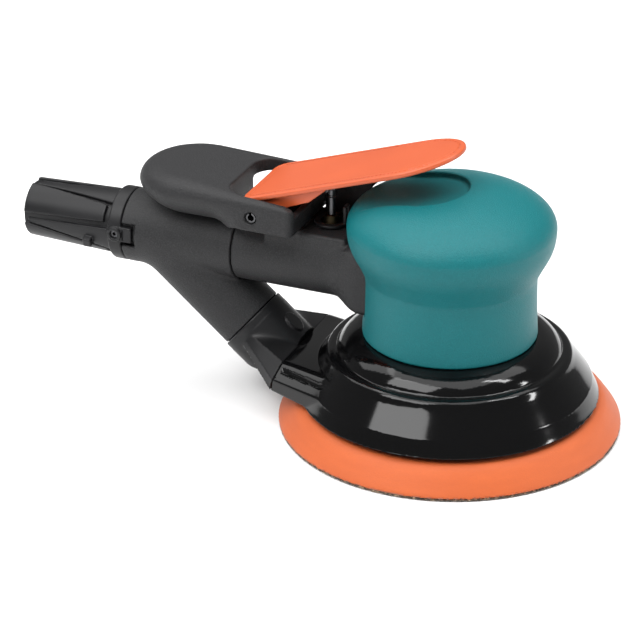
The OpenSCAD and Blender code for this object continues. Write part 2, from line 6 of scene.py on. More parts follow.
import bpy
import numpy as np
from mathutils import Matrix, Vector

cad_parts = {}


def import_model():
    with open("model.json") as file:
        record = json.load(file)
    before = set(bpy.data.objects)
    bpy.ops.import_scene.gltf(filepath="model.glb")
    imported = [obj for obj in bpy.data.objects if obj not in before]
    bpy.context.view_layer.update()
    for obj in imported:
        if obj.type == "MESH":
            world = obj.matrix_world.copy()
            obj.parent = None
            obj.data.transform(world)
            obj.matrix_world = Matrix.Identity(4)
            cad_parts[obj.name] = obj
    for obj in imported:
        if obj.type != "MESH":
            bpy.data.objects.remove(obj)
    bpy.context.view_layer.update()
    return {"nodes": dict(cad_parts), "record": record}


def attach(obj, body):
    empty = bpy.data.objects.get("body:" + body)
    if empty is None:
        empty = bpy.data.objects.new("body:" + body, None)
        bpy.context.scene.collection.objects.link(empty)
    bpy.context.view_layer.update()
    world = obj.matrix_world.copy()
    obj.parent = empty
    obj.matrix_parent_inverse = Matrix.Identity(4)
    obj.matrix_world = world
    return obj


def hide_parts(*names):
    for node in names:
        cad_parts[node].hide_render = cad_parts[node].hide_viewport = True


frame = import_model()
MM = 0.001

# ---------------- solids as distance functions, in millimetres

def segment_distance_squared(u, v, ax, ay, bx, by):
    """The squared distance of (u, v) from the line between a and b in the plane."""
    ex, ey = bx - ax, by - ay
    wx, wy = u - ax, v - ay
    t = np.clip((wx * ex + wy * ey) / (ex * ex + ey * ey), 0, 1)
    dx, dy = wx - ex * t, wy - ey * t
    return dx * dx + dy * dy


def poly2(u, v, pts):
    """Signed distance to a closed outline in the plane, negative inside."""
    best = np.full(u.shape, 1e12, dtype=u.dtype)
    inside = np.zeros(u.shape, dtype=bool)
    n = len(pts)
    for i in range(n):
        (ax, ay), (bx, by) = pts[i], pts[(i + 1) % n]
        if (ax - bx) ** 2 + (ay - by) ** 2 < 1e-12:
            continue
        best = np.minimum(best, segment_distance_squared(u, v, ax, ay, bx, by))
        if ay != by:
            cross = (ay > v) != (by > v)
            inside ^= cross & (u < (bx - ax) * (v - ay) / (by - ay) + ax)
    d = np.sqrt(best)
    return np.where(inside, -d, d)


def extrude(d2, w, lo, hi, r=0.0):
    """A plane outline with distance d2, made solid from lo to hi along w, with its edges rounded by r."""
    a = d2 + r
    b = np.abs(w - (lo + hi) / 2) - (hi - lo) / 2 + r
    return np.hypot(np.maximum(a, 0), np.maximum(b, 0)) + np.minimum(np.maximum(a, b), 0) - r


def box(p, lo, hi, r=0.0):
    """A box between two corners, with its edges rounded by r."""
    q = [np.abs(p[i] - (lo[i] + hi[i]) / 2) - (hi[i] - lo[i]) / 2 + r for i in range(3)]
    out = np.sqrt(sum(np.maximum(c, 0) ** 2 for c in q))
    return out + np.minimum(np.maximum(np.maximum(q[0], q[1]), q[2]), 0) - r


def along(p, a, b):
    """Distance along and away from the line from a to b."""
    ax = np.array(b, float) - np.array(a, float)
    length = np.linalg.norm(ax)
    ax = ax / length
    w = [p[i] - a[i] for i in range(3)]
    t = w[0] * ax[0] + w[1] * ax[1] + w[2] * ax[2]
    rest = np.sqrt(sum((w[i] - t * ax[i]) ** 2 for i in range(3)))
    return t, rest, length


def rod(p, a, b, r, edge=0.0):
    """A round rod of radius r from a to b."""
    t, d, length = along(p, a, b)
    return extrude(d - r, t, 0, length, edge)


def cone(p, a, b, ra, rb, edge=0.0):
    """A round rod whose radius goes from ra at a to rb at b."""
    t, d, length = along(p, a, b)
    slope = (rb - ra) / length
    return extrude((d - ra - slope * t) / math.hypot(1, slope), t, 0, length, edge)


def union(a, b, k=0.0):
    """Both solids as one, blended over k where they meet."""
    if np.ndim(k) == 0 and k <= 0:
        return np.minimum(a, b)
    h = np.clip(0.5 + 0.5 * (b - a) / k, 0, 1)
    return b * (1 - h) + a * h - k * h * (1 - h)


def cut(a, b, k=0.0):
    """a with b taken away, the new edge softened over k."""
    return -union(-a, b, k)


def both(a, b, k=0.0):
    """Where a and b are both solid, the new edge softened over k."""
    return -union(-a, -b, k)


def spline(points, steps):
    """A smooth open curve through the points (centripetal Catmull-Rom), with steps points a span."""
    pts = [np.array(q, float) for q in points]
    pts = [2 * pts[0] - pts[1]] + pts + [2 * pts[-1] - pts[-2]]
    out = []
    for i in range(1, len(pts) - 2):
        p0, p1, p2, p3 = pts[i - 1 : i + 3]
        t0 = 0.0
        t1 = t0 + math.sqrt(np.linalg.norm(p1 - p0))
        t2 = t1 + math.sqrt(np.linalg.norm(p2 - p1))
        t3 = t2 + math.sqrt(np.linalg.norm(p3 - p2))
        for s in range(steps):
            t = t1 + (t2 - t1) * s / steps
            a1 = (t1 - t) / (t1 - t0) * p0 + (t - t0) / (t1 - t0) * p1
            a2 = (t2 - t) / (t2 - t1) * p1 + (t - t1) / (t2 - t1) * p2
            a3 = (t3 - t) / (t3 - t2) * p2 + (t - t2) / (t3 - t2) * p3
            b1 = (t2 - t) / (t2 - t0) * a1 + (t - t0) / (t2 - t0) * a2
            b2 = (t3 - t) / (t3 - t1) * a2 + (t - t1) / (t3 - t1) * a3
            out.append(tuple((t2 - t) / (t2 - t1) * b1 + (t - t1) / (t2 - t1) * b2))
    out.append(tuple(pts[-2]))
    return out


# ---------------- from a distance function to a mesh

COARSE = 5  # grid steps to one step of the coarser grid
CHUNK = 400000  # points in one call of a shape function
MARGIN = 2.5  # grid steps beyond the box of a piece
SETTLE_ROUNDS = 4


def sample(f, axes, step):
    """Values on a grid. Points far from the surface keep the value of a coarser grid."""
    coarse_axes = [a[::COARSE] for a in axes]
    far = f(np.meshgrid(*coarse_axes, indexing="ij"))
    nearest = [np.minimum((np.arange(len(a)) + COARSE // 2) // COARSE, len(c) - 1)
               for a, c in zip(axes, coarse_axes)]
    values = far[np.ix_(*nearest)]
    near = np.nonzero(np.abs(values) < 1.9 * COARSE * step)
    points = [axes[i][near[i]] for i in range(3)]
    exact = np.empty(len(near[0]))
    for start in range(0, len(exact), CHUNK):
        exact[start : start + CHUNK] = f([q[start : start + CHUNK] for q in points])
    values[near] = exact
    return values


def gradient(f, p, e=0.02):
    """The slope of f at the points, one row for each."""
    g = []
    for i in range(3):
        hi = list(p)
        lo = list(p)
        hi[i] = p[i] + e
        lo[i] = p[i] - e
        g.append((f(hi) - f(lo)) / (2 * e))
    return np.stack(g, 1)


CORNERS = [(a, b, c) for a in (0, 1) for b in (0, 1) for c in (0, 1)]


def surface_cells(solid):
    """The grid cells that the surface runs through, and the number of each cell's point."""
    nx, ny, nz = (n - 1 for n in solid.shape)
    count = sum(solid[a : a + nx, b : b + ny, c : c + nz].astype(np.int8) for a, b, c in CORNERS)
    mixed = (count > 0) & (count < len(CORNERS))
    cell = np.nonzero(mixed)
    index = np.full(mixed.shape, -1, dtype=np.int64)
    index[cell] = np.arange(len(cell[0]))
    return cell, index


def cell_points(values, cell, axes, step):
    """One point for each cell: the mean of the places where the surface crosses the cell's edges."""
    corners = {(a, b, c): values[cell[0] + a, cell[1] + b, cell[2] + c] for a, b, c in CORNERS}
    total = np.zeros((len(cell[0]), 3))
    hits = np.zeros(len(cell[0]))
    for axis in range(3):
        for b in (0, 1):
            for c in (0, 1):
                first = [b, c]
                first.insert(axis, 0)
                second = [b, c]
                second.insert(axis, 1)
                v0, v1 = corners[tuple(first)], corners[tuple(second)]
                crossing = (v0 < 0) != (v1 < 0)
                t = np.where(crossing, v0 / np.where(crossing, v0 - v1, 1), 0)
                place = np.stack([np.full(len(t), float(k)) for k in first], 1)
                place[:, axis] = t
                total += place * crossing[:, None]
                hits += crossing
    inside_cell = total / hits[:, None]
    return np.stack([axes[i][cell[i]] + inside_cell[:, i] * step for i in range(3)], 1)


def settled(f, points, step):
    """The points moved along the slope of f onto its surface, none further than three quarters of a step."""
    start = points.copy()
    for _ in range(SETTLE_ROUNDS):
        q = [points[:, i] for i in range(3)]
        slope = gradient(f, q)
        move = -(f(q) / np.maximum((slope * slope).sum(1), 0.2))[:, None] * slope
        size = np.linalg.norm(move, axis=1, keepdims=True)
        move *= np.minimum(1, 0.5 * step / np.maximum(size, 1e-9))
        points = start + np.clip(points + move - start, -0.75 * step, 0.75 * step)
    return points


def surface_quads(solid, index):
    """A face across each grid edge that the surface crosses, facing outwards."""
    quads = []
    for axis in range(3):
        others = [i for i in range(3) if i != axis]
        before = np.take(solid, range(0, solid.shape[axis] - 1), axis)
        after = np.take(solid, range(1, solid.shape[axis]), axis)
        edge = np.nonzero(before != after)
        keep = np.ones(len(edge[0]), bool)
        for k in others:
            keep &= (edge[k] > 0) & (edge[k] < solid.shape[k] - 1)
        edge = [a[keep] for a in edge]
        ring = []
        for du, dv in ((1, 1), (0, 1), (0, 0), (1, 0)):
            w = [a.copy() for a in edge]
            w[others[0]] -= du
            w[others[1]] -= dv
            ring.append(index[w[0], w[1], w[2]])
        quad = np.stack(ring, 1)
        if axis == 1:
            quad = quad[:, ::-1]
        inside_first = solid[edge[0], edge[1], edge[2]]
        quads.append(np.where(inside_first[:, None], quad, quad[:, ::-1]))
    return np.concatenate(quads)


def smooth_object(name, f, points, quads):
    """An object of the faces, shaded with the slope of f."""
    me = bpy.data.meshes.new(name)
    me.vertices.add(len(points))
    me.vertices.foreach_set("co", (points * MM).astype(np.float32).ravel())
    me.loops.add(len(quads) * 4)
    me.loops.foreach_set("vertex_index", quads.astype(np.int32).ravel())
    me.polygons.add(len(quads))
    me.polygons.foreach_set("loop_start", np.arange(0, len(quads) * 4, 4, dtype=np.int32))
    me.update(calc_edges=True)
    me.polygons.foreach_set("use_smooth", np.ones(len(quads), bool))
    normals = gradient(f, [points[:, i] for i in range(3)])
    normals /= np.maximum(np.linalg.norm(normals, axis=1, keepdims=True), 1e-9)
    me.normals_split_custom_set_from_vertices(normals.astype(np.float32))
    me.validate()
    ob = bpy.data.objects.new(name, me)
    bpy.context.scene.collection.objects.link(ob)
    return ob


def solid_mesh(name, f, lo, hi, step):
    """A closed mesh of f's zero surface inside the box, its points moved onto the surface itself."""
    axes = [np.arange(lo[i] - MARGIN * step, hi[i] + MARGIN * step, step) for i in range(3)]
    values = sample(f, axes, step)
    values[values == 0] = 1e-9
    solid = values < 0
    cell, index = surface_cells(solid)
    points = settled(f, cell_points(values, cell, axes, step), step)
    return smooth_object(name, f, points, surface_quads(solid, index))


# ---------------- the sander's shapes, in millimetres

# z is the motor's axis, and the handle runs along -x. A shape function takes the coordinates of many points
# as p = (x, y, z) and gives their distances from the solid, negative inside.

PAST_AXIS = -12  # a turned outline starts beyond the axis, so that no wall forms on it
HANDLE_Z = 57.3
STEM_X = -47
PIVOT = (-70.2, 78.3)
LEVER_TILT = math.radians(18.4)


def radius(p):
    """Distance from the motor's axis."""
    return np.hypot(p[0], p[1])


def ramp(v, a, b):
    """Rises smoothly from 0 at a to 1 at b."""
    t = np.clip((v - a) / (b - a), 0, 1)
    return t * t * (3 - 2 * t)


def tilted(dx, dz, angle):
    """The offset (dx, dz) along and across a direction that rises at the angle."""
    return dx * math.cos(angle) + dz * math.sin(angle), -dx * math.sin(angle) + dz * math.cos(angle)


def along_handle(p, x0, x1, r, edge=0.0):
    """A round rod on the handle's axis."""
    return rod(p, (x0, 0, HANDLE_Z), (x1, 0, HANDLE_Z), r, edge)


def across_pivot(p, y0, y1, r, edge=0.0):
    """A round rod on the lever's pivot axis."""
    return rod(p, (PIVOT[0], y0, PIVOT[1]), (PIVOT[0], y1, PIVOT[1]), r, edge)


# ---- rubber grip

GRIP_LOW = 37.05
GRIP_WALL = 2.8
DOME_R = 38.1
DOME_LOW = 79
DOME_H = 15
WAIST = [(32.2, 37), (31.9, 43), (31.65, 50), (31.55, 56), (31.6, 59.6), (31.9, 61.3), (32.7, 63.1),
         (34.0, 65.8), (35.7, 69.0), (37.0, 72.0), (37.8, 75.2), (DOME_R, DOME_LOW)]
POCKET_R = 16
POCKET_END = (-10, 89.55)
POCKET_TILT = math.radians(8.93)


def grip_outline(inset, low):
    """The grip's outline in (r, z), moved inwards by inset: a waist and a flattened dome."""
    side = [(r - inset, z) for r, z in spline(WAIST, 7)[:-1]]
    dome = [((DOME_R - inset) * math.cos(t) ** 0.95, DOME_LOW + (DOME_H - inset) * math.sin(t))
            for t in np.radians(np.arange(0, 90, 4.5))]
    top = DOME_LOW + DOME_H - inset
    return [(side[0][0], low)] + side + dome + [(0, top), (PAST_AXIS, top), (PAST_AXIS, low)]


GRIP_PROFILE = grip_outline(0, 30)
CASE_PROFILE = grip_outline(3.05, 34)


def pocket(p, grow=0.0, drop=0.0):
    """The pocket in the dome, open towards the handle."""
    u, w = tilted(p[0] - POCKET_END[0], p[2] - POCKET_END[1], POCKET_TILT)
    plan = np.where(u > 0, np.hypot(u, p[1]), np.abs(p[1])) - POCKET_R - grow
    return both(plan, -w - drop, 1.2)


def grip_f(p):
    """The grip: a shell that follows the outline and the pocket, with a window for the handle."""
    outside = cut(poly2(radius(p), p[2], GRIP_PROFILE), pocket(p), 0.9)
    shell = np.maximum(outside, -(outside + GRIP_WALL))
    shell = both(shell, GRIP_LOW - p[2], 0.6)
    handle_window = box(p, (-60, -16.3, 43.7), (-18, 16.3, 72.3), 1.5)
    return cut(shell, handle_window, 0.8)


# ---- motor housing with its handle

HANDLE_R = 13.1
BLOCK_HALF = (16, 13.4)
BLOCK_Z = 57.4
BLOCK_EDGE = 2.6
GUARD = [(-53.9, 62), (-53.9, 78.2), (-46.8, 82.1), (-39.8, 86.2), (-36, 87.6), (-31.4, 87.8), (-32.8, 86.4),
         (-35.2, 84), (-37.2, 80), (-37.2, 62)]
# radius, lower and upper end: motor, lock ring, upper bearing and the ring where the exhaust gathers
MOTOR_ROOM = [(24.1, 30, 75.2), (25.6, 30, 40.3), (15.4, 60, 82), (26.2, 46.5, 53.1)]
# both ends and radius: inlet bushing, valve chamber and the way to the motor
INLET_BORES = [(-60.5, -100, 6.85), (-40, -61, 6.4), (-20, -42, 3.6)]
CHANNEL_RING = 9.9
CHANNEL_R = 1.6


def rounded_rectangle(u, v, half_u, half_v, r):
    a, b = np.abs(u) - half_u + r, np.abs(v) - half_v + r
    return np.hypot(np.maximum(a, 0), np.maximum(b, 0)) + np.minimum(np.maximum(a, b), 0) - r


def handle_tube(p):
    """A round tube that turns into a rounded block where it meets the motor."""
    x, y, z = p
    t = ramp(x, -45, -30)
    tube = np.hypot(y, z - HANDLE_Z) - HANDLE_R
    block = rounded_rectangle(y, z - BLOCK_Z, BLOCK_HALF[0], BLOCK_HALF[1], BLOCK_EDGE)
    return extrude(tube * (1 - t) + block * t, x, -82.2, -18, 0.5)


def lever_mount(p):
    """The lug that carries the lever's pin, and the ribs in front of it."""
    x, y, z = p
    foot = box(p, (-74.2, -5, 62), (-66.2, 5, 78.3), 0.6)
    lug = both(np.minimum(across_pivot(p, 5, -5, 4, 0.6), foot), np.abs(y) - 5, 0.6)
    ribs = box((x, np.abs(y), z), (-69.3, 9.4, 62), (-54, 11.2, 72.3), 0.5)
    return union(lug, ribs, 0.5)


def motor_space(p):
    """The hollow that holds the motor."""
    return np.minimum.reduce([extrude(radius(p) - r, p[2], low, high) for r, low, high in MOTOR_ROOM])


def handle_bores(p):
    """The inlet's stepped bore, the bores for the stem and the lever's pin, and the exhaust channels."""
    bores = [along_handle(p, *bore) for bore in INLET_BORES]
    bores.append(rod(p, (STEM_X, 0, 61.3), (STEM_X, 0, 80), 4.05))
    bores.append(across_pivot(p, 10, -10, 2.03))
    for angle in np.radians(np.arange(120, 241, 30)):
        y, z = CHANNEL_RING * math.sin(angle), HANDLE_Z + CHANNEL_RING * math.cos(angle)
        bores.append(rod(p, (-20, y, z), (-100, y, z), CHANNEL_R))
    return np.minimum.reduce(bores)


def housing_f(p):
    """The motor case under the grip, in one piece with the handle, the lever's lug and the guard wall."""
    x, y, z = p
    body = cut(poly2(radius(p), z, CASE_PROFILE), pocket(p, 3, 2.45), 0.5)
    skirt = extrude(radius(p) - 30, z, 34, 36.9, 0.5)
    spigot = along_handle(p, -80, -92, 12.1, 0.6)
    platform = box(p, (-56, -12, 60), (-36.6, 12, 71.5), 1.4)
    guard = both(poly2(x, z, GUARD), np.abs(y - 11) - 1.1, 0.4)
    handle = union(handle_tube(p), platform, 1.6)
    handle = union(union(handle, lever_mount(p), 1.2), guard, 0.6)
    solid = np.minimum(union(body, handle, 0.8), np.minimum(skirt, spigot))
    return cut(cut(solid, motor_space(p)), handle_bores(p), 0.25)


# ---- shroud and its dust outlet

SKIRT_Z = 12.9
NECK_TOP = 36.85
NECK_BORE = 30.05
SHROUD_WALL = 2.1
SHROUD_OUT = [(30.0, NECK_TOP), (32.6, NECK_TOP), (34.6, 36.5), (36.6, 35.7), (38.4, 34.6), (39.8, 33.3),
              (40.8, 32.0), (41.3, 31.1), (41.8, 30.65), (42.6, 30.6), (43.6, 30.5), (44.5, 30.15),
              (45.1, 29.6), (45.5, 28.9), (46.0, 28.0), (46.6, 27.1), (49.6, 23.1), (52.3, 19.45),
              (52.7, 18.9), (52.95, 18.3), (53.9, 16.2), (55.1, 13.6), (55.35, 13.2), (55.4, SKIRT_Z)]
SHROUD_PROFILE = [(PAST_AXIS, NECK_TOP)] + spline(SHROUD_OUT, 3) + [(PAST_AXIS, SKIRT_Z)]
MOUTH = (-57.4, 22.4)
MOUTH_LEAN = math.radians(15)


def past_mouth(p):
    """Distance inwards from the leaning mouth plane of the dust outlet."""
    return (p[0] - MOUTH[0]) * math.cos(MOUTH_LEAN) - (p[2] - MOUTH[1]) * math.sin(MOUTH_LEAN)


def outlet_widths(y, u):
    """Half widths of the outlet's top, side edge and floor: fanning out on the near side, in on the far."""
    near = y < 0
    top = np.where(near, 21.8 + 0.48 * u, 21.0 - 0.40 * u)
    fan = np.where(near, 0.44 * u, -0.27 * u)
    return top, 29.2 + fan, 28.4 + fan


def facet(ay, z, w0, z0, w1, z1):
    """Distance outwards from the slanting side that runs from (w0, z0) down to (w1, z1)."""
    return ((ay - w0) * (z0 - z1) + (z - z0) * (w1 - w0)) / np.hypot(z0 - z1, w1 - w0)


def outlet_f(p, inset=0.0):
    """The dust outlet's box, which leaves the shroud almost along a tangent."""
    x, y, z = p
    u = np.clip(x - MOUTH[0], -3, 34)
    ay = np.abs(y)
    top_w, edge_w, floor_w = outlet_widths(y, u)
    top_w, edge_w, floor_w = top_w - 0.7 * inset, edge_w - inset, floor_w - inset
    top_z = 23.2 + 0.10 * u - inset
    edge_z = 18.2 + 0.05 * u
    crown = 0.06 * np.maximum(u, 0) * np.maximum(1 - (ay / top_w) ** 2, 0)
    d = both(z - top_z - crown, facet(ay, z, top_w, top_z, edge_w, edge_z), 0.9)
    d = both(d, facet(ay, z, edge_w, edge_z, floor_w, SKIRT_Z), 0.7)
    return both(d, SKIRT_Z + inset - z, 0.6)


def slotted(p, solid):
    """The outlet with the shallow slot along each of its upper side facets."""
    u, y = p[0] - MOUTH[0], p[1]
    top_w, edge_w, _ = outlet_widths(y, u)
    down_facet = (np.abs(y) - top_w) / np.maximum(edge_w - top_w, 1)
    ends = np.clip(np.minimum(u - 0.8, 27 - u), 0, 1)
    return solid + 0.9 * ends * np.clip(1 - ((down_facet - 0.42) / 0.14) ** 2, 0, 1)


def shroud_f(p):
    """The shroud: a turned skirt with the dust outlet, hollow inside."""
    x, r, z = p[0], radius(p), p[2]
    turned = poly2(r, z, SHROUD_PROFILE)
    outlet = both(outlet_f(p), -past_mouth(p), 0.4)
    outlet = slotted(p, np.maximum(outlet, x + 28))
    solid = union(turned, outlet, 0.5)
    flare = np.maximum(r - 53.2 + 0.9 * (z - SKIRT_Z), z - 17)
    hollow = np.maximum(np.minimum(turned + SHROUD_WALL, flare), z - 34)
    solid = cut(solid, hollow, 0.2)
    solid = cut(solid, np.maximum(r - NECK_BORE, 30 - z), 0.4)
    duct = np.maximum(outlet_f(p, 1.5), x + 32)
    solid = cut(solid, duct, 0.2)
    return np.maximum(solid, SKIRT_Z - z)


# ---- exhaust elbow

BRANCH_ANGLE = math.radians(130)
BRANCH = (math.sin(BRANCH_ANGLE), 0, math.cos(BRANCH_ANGLE))
JOINT = (-79.3, 0, 26.7)
SOCKET_R = 13.6
LOFT_FROM = 3.6
LOFT_R = 13.3
AIRWAY_R = 10
# the mouth is flat above and below; each of its slanting sides has a direction (y, height) and a distance
MOUTH_HALF_H = 5.15
MOUTH_SIDES = [(0.56, 0.829, 16.5), (0.989, -0.149, 28.9)]


def on_branch(s):
    """The point at distance s from the joint, down the branch's axis."""
    return tuple(j + b * s for j, b in zip(JOINT, BRANCH))


def mouth_reach(y, v, inset):
    """How far the mouth's outline lies from its middle, in the direction of (y, v)."""
    nearest = np.abs(v) / (MOUTH_HALF_H - inset)
    for side_y, side_v, distance in MOUTH_SIDES:
        nearest = np.maximum(nearest, (side_y * np.abs(y) + side_v * v) / (distance - inset))
    return np.hypot(y, v) / np.maximum(nearest, 1e-4)


def loft_height(x, z, t):
    """Height over the loft's middle line, in a section that leans more and more like the mouth."""
    middle_x, middle_z = -76.5 + 17.9 * t, 24.4 - 6.35 * t
    return (x - middle_x) * (0.643 - 0.384 * t) + (z - middle_z) * (0.766 + 0.2 * t)


def elbow_f(p):
    """The elbow to the dust outlet: s runs down the manifold's branch, and up stands square to it."""
    x, y, z = p
    s = (x - JOINT[0]) * BRANCH[0] + (z - JOINT[2]) * BRANCH[2]
    up = (x - JOINT[0]) * -BRANCH[2] + (z - JOINT[2]) * BRANCH[0]
    ring = np.hypot(y, up)
    past = past_mouth(p)
    # a straight loft widens from the socket's circle to the outline of the dust outlet's mouth
    span = s - LOFT_FROM
    t = np.clip(span / np.maximum(span - past, 1e-3), 0, 1)
    t = np.where(past > 0, 1, np.where(span < 0, 0, t))
    v = loft_height(x, z, t)
    across = np.hypot(y, v)
    loft = (across - LOFT_R * (1 - t) - mouth_reach(y, v, 0.35) * t) * 0.8
    loft = both(loft, np.maximum(-span, past + 0.15), 0.3)
    below = (s - 8) * 0.703 - (up + SOCKET_R) * 0.711
    socket = np.maximum(np.maximum(extrude(ring - SOCKET_R, s, 0, 21, 0.6), past + 0.3), below)
    oval_mark = extrude(np.hypot((s - 12) * 0.8, y + 1.5) - 3.4, up, 9, 13.95, 0.3)
    body = union(union(socket, loft, 0.7), oval_mark, 0.3)
    airway = np.maximum((across - AIRWAY_R * (1 - t) - mouth_reach(y, v, 2.75) * t) * 0.8, 11 - s)
    body = cut(body, np.maximum(airway, past - 0.5), 0.3)
    bore = np.minimum(np.maximum(ring - 12.1, s - 10.5), np.maximum(ring - AIRWAY_R, s - 14))
    body = cut(body, bore, 0.3)
    # a thin tongue that reaches into the dust outlet
    tongue = np.maximum(np.maximum(outlet_f(p, 1.6), -outlet_f(p, 2.75)), np.abs(past - 0.6) - 0.9)
    return np.minimum(body, tongue)


# ---- manifold

PIPE_BORE = 12.15


def manifold_f(p):
    """The Y piece: a pipe on the handle's axis and the branch that leads down to the elbow."""
    pipe = cone(p, (-82.4, 0, HANDLE_Z), (-127, 0, HANDLE_Z), 13.5, 14.0, 0.5)
    branch = rod(p, on_branch(-47.6), on_branch(-0.2), 13.1, 0.5)
    solid = union(pipe, branch, 2.2)
    solid = cut(solid, along_handle(p, -50, -82.2, 13.4), 0.3)
    spigot = rod(p, on_branch(-1), on_branch(10), 12.0, 0.5)
    solid = np.minimum(solid, spigot)
    solid = cut(solid, along_handle(p, -70, -140, PIPE_BORE), 0.2)
    solid = cut(solid, rod(p, on_branch(-47.6), on_branch(20), AIRWAY_R), 0.3)
    t, d, _ = along(p, on_branch(4.8), on_branch(6.2))
    ring_groove = np.maximum(10.7 - d, np.abs(t - 0.7) - 0.7)
    solid = cut(solid, ring_groove)
    notch = box(p, (-130, -16, 53.9), (-121.3, -10, 62.7), 0.4)
    return cut(solid, notch, 0.3)


# ---- hose adapter

CLIP_X = -129.5
CLIP_Z = HANDLE_Z + 1


def raised_panel(p, span, angles, far_angles, radii):
    """A raised panel along the adapter, between two angles at span[0] and two others at span[1]."""
    x, y, z = p
    angle = np.degrees(np.arctan2(z - HANDLE_Z, -y))
    r = np.hypot(y, z - HANDLE_Z)
    t = np.clip((x - span[0]) / (span[1] - span[0]), 0, 1)
    low = angles[0] + (far_angles[0] - angles[0]) * t
    high = angles[1] + (far_angles[1] - angles[1]) * t
    off = np.abs((angle - (low + high) / 2 + 180) % 360 - 180) - (high - low) / 2
    side = np.radians(off) * np.minimum(r, 12)
    top = r - radii[0] - (radii[1] - radii[0]) * t
    return both(both(top, side, 0.5), np.maximum(span[0] - x, x - span[1]), 0.5)


def clip(p):
    """The ear and the creased tab that lock the adapter in the manifold's notch."""
    ear = rod(p, (CLIP_X, -10, CLIP_Z), (CLIP_X, -14.6, CLIP_Z), 2.9, 0.4)
    tab = box(p, (-128, -13.8, HANDLE_Z - 2), (-122.7, -10.8, HANDLE_Z + 4), 0.5)
    crease = box(p, (-126.4, -14.2, HANDLE_Z - 1.2), (-125.9, -13.2, HANDLE_Z + 3.2), 0.1)
    return np.minimum(ear, cut(tab, crease, 0.2))


def adapter_f(p):
    """The hose adapter: a tapered tube with two kinds of raised panels, four times round."""
    x, y, z = p
    solid = cone(p, (-131, 0, HANDLE_Z), (-169.6, 0, HANDLE_Z), 11.0, 9.9, 0.5)
    for turn in range(0, 360, 90):
        wide = raised_panel(p, (-169.2, -135.2), (turn + 10, turn + 77), (turn + 19, turn + 51), (11.1, 12.3))
        slim = raised_panel(p, (-167.5, -131.5), (turn - 12, turn - 1), (turn - 36, turn + 9), (10.5, 12.9))
        solid = np.minimum(np.minimum(solid, wide), slim)
    solid = union(solid, along_handle(p, -127.2, -132.6, 14, 0.7), 0.6)
    solid = np.minimum(solid, along_handle(p, -116.2, -128.5, 12.0, 0.6))
    solid = union(solid, clip(p), 0.3)
    lug_y, lug_z = tilted(y, z - HANDLE_Z, math.radians(21))
    lug = box((x, lug_y, lug_z), (-143.2, -14.6, -1.8), (-139.8, -10, 1.8), 0.4)
    solid = union(solid, lug, 0.3)
    bore = np.minimum(along_handle(p, -100, -133.2, 10.3), along_handle(p, -120, -190, 9.2))
    clip_hole = rod(p, (CLIP_X, -9, CLIP_Z), (CLIP_X, -20, CLIP_Z), 1.5)
    return cut(cut(solid, bore, 0.4), clip_hole, 0.2)


# ---- palm rest

REST_HALF = 21.5
REST_FRONT = -54
REST_TOP = 87.4
REST_LOW = 72.8
REST_REAR = [(-103 + 19.6 * math.cos(t), REST_HALF * math.sin(t)) for t in np.radians(np.arange(90, 271, 6))]
REST_PLAN = REST_REAR + [(REST_FRONT, -REST_HALF), (REST_FRONT, REST_HALF)]
SLOT_HALF = 17.9
SLOT_REAR = -74.3
SLOT_R = 8
SLOT_ARC = [(SLOT_REAR - SLOT_R * math.sin(t), SLOT_HALF - SLOT_R + SLOT_R * math.cos(t))
            for t in np.radians(np.arange(0, 91, 10))]
SLOT_SIDE = [(-56.7, SLOT_HALF)] + SLOT_ARC
SLOT_PLAN = SLOT_SIDE + [(x, -y) for x, y in SLOT_SIDE[::-1]]


def rounded_corner(a, b, r):
    """Distance outwards from a corner rounded by r; a and b run outwards from the middle of its arc."""
    return np.where((a > 0) & (b > 0), np.hypot(a, b) - r, -1e3)


def rest_outside(p):
    """The rest without its openings: a round rear, a falling top and rounded front corners."""
    x, y, z = p
    plan = poly2(x, y, REST_PLAN) + 0.07 * np.maximum(83 - z, 0) ** 2 * ramp(x, -74, -90)
    top = z - (REST_TOP - 3.6 * np.clip((x + 100) / 46, 0, 1))
    low = REST_LOW - 3.0 * ramp(x, -76, -84) + 9.0 * ramp(x, -106, -123)
    top_edge = 2.4 + 5.5 * np.clip((-60 - x) / 50, 0, 1)
    solid = both(both(plan, top, top_edge), low - z, 1.4)
    solid = both(solid, rounded_corner(x + 57, np.abs(y) - 18.5, 3))
    return both(solid, rounded_corner(x + 57.2, z - 80.4, 3.2))


def rest_f(p):
    """The palm rest with its lever slot, saddle, side window and pin hole."""
    x, y, z = p
    lever_slot = extrude(poly2(x, y, SLOT_PLAN), z, 50, 110)
    solid = cut(rest_outside(p), lever_slot, 0.9)
    saddle = box(p, (-58, -SLOT_HALF, 79.9), (-40, SLOT_HALF, 100), 0.5)
    window = box(p, (-89, 9, 60), (-75.6, 40, 80.6), 1.0)
    solid = cut(solid, np.minimum(saddle, window), 0.5)
    solid = cut(solid, along_handle(p, -50, -135, 14.2), 0.4)
    pin_hole = across_pivot(p, 40, -40, 2.02)
    for side in (1, -1):
        pin_hole = np.minimum(pin_hole, across_pivot(p, 40 * side, 20.2 * side, 2.35))
    return cut(solid, pin_hole, 0.3)


# ---- lever and its pin

